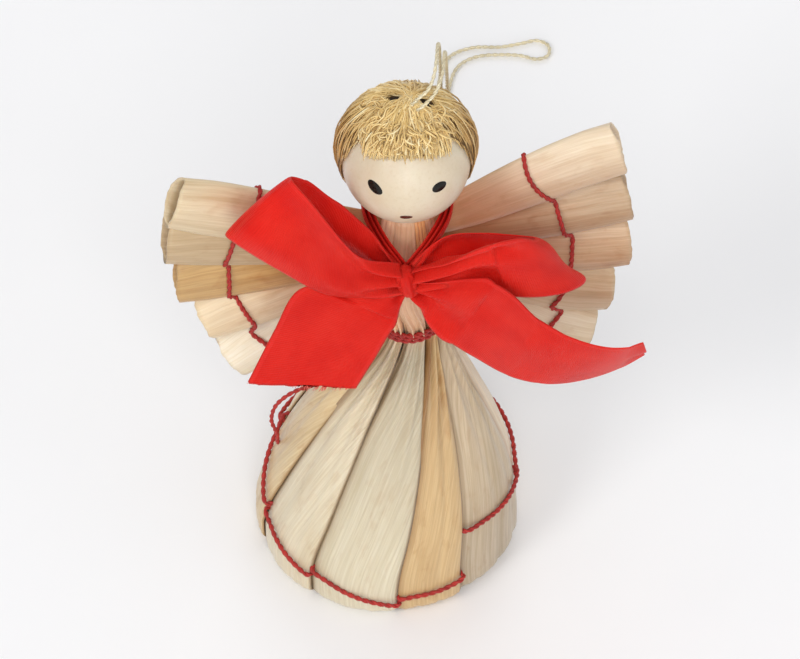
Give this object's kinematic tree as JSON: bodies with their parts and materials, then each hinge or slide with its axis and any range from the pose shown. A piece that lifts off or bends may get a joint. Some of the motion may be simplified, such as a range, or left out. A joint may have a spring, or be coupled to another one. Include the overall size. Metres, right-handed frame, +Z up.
{
  "type": "straw angel ornament",
  "caption": "Small angel ornament of flattened straw: folded skirt, fanned open-ended wings, bead head with flax hair, red satin bow, red binding threads and a gold hanging thread.",
  "frame": {"origin": "middle of the figure's box at the surface it stands on, measured without the hanging thread", "axes": "+Z up from the hem to the crown, the face and the bow look towards -Y, +X is to the viewer's right"},
  "size_m": [0.045, 0.0714, 0.064],
  "materials": {
    "straw": "pale wheat straw, silky",
    "red_thread": "twisted red thread",
    "bead": "cream painted wood, satin",
    "flax": "flax fibre",
    "ribbon": "red satin",
    "gold_thread": "gold thread"
  },
  "bodies": {
    "root": {"skirt_straw_1": "straw", "skirt_straw_2": "straw", "skirt_straw_3": "straw", "skirt_straw_4": "straw", "skirt_straw_5": "straw", "skirt_straw_6": "straw", "skirt_straw_7": "straw", "skirt_straw_8": "straw", "skirt_straw_9": "straw", "left_wing_straw_1": "straw", "left_wing_straw_2": "straw", "left_wing_straw_3": "straw", "left_wing_straw_4": "straw", "left_wing_straw_5": "straw", "right_wing_straw_1": "straw", "right_wing_straw_2": "straw", "right_wing_straw_3": "straw", "right_wing_straw_4": "straw", "right_wing_straw_5": "straw", "hem_thread": "red_thread", "waist_thread": "red_thread", "left_wing_thread": "red_thread", "right_wing_thread": "red_thread", "head_bead": "bead", "hair": "flax", "ribbon_bow": "ribbon", "hanging_thread": "gold_thread"}
  },
  "joints": []
}
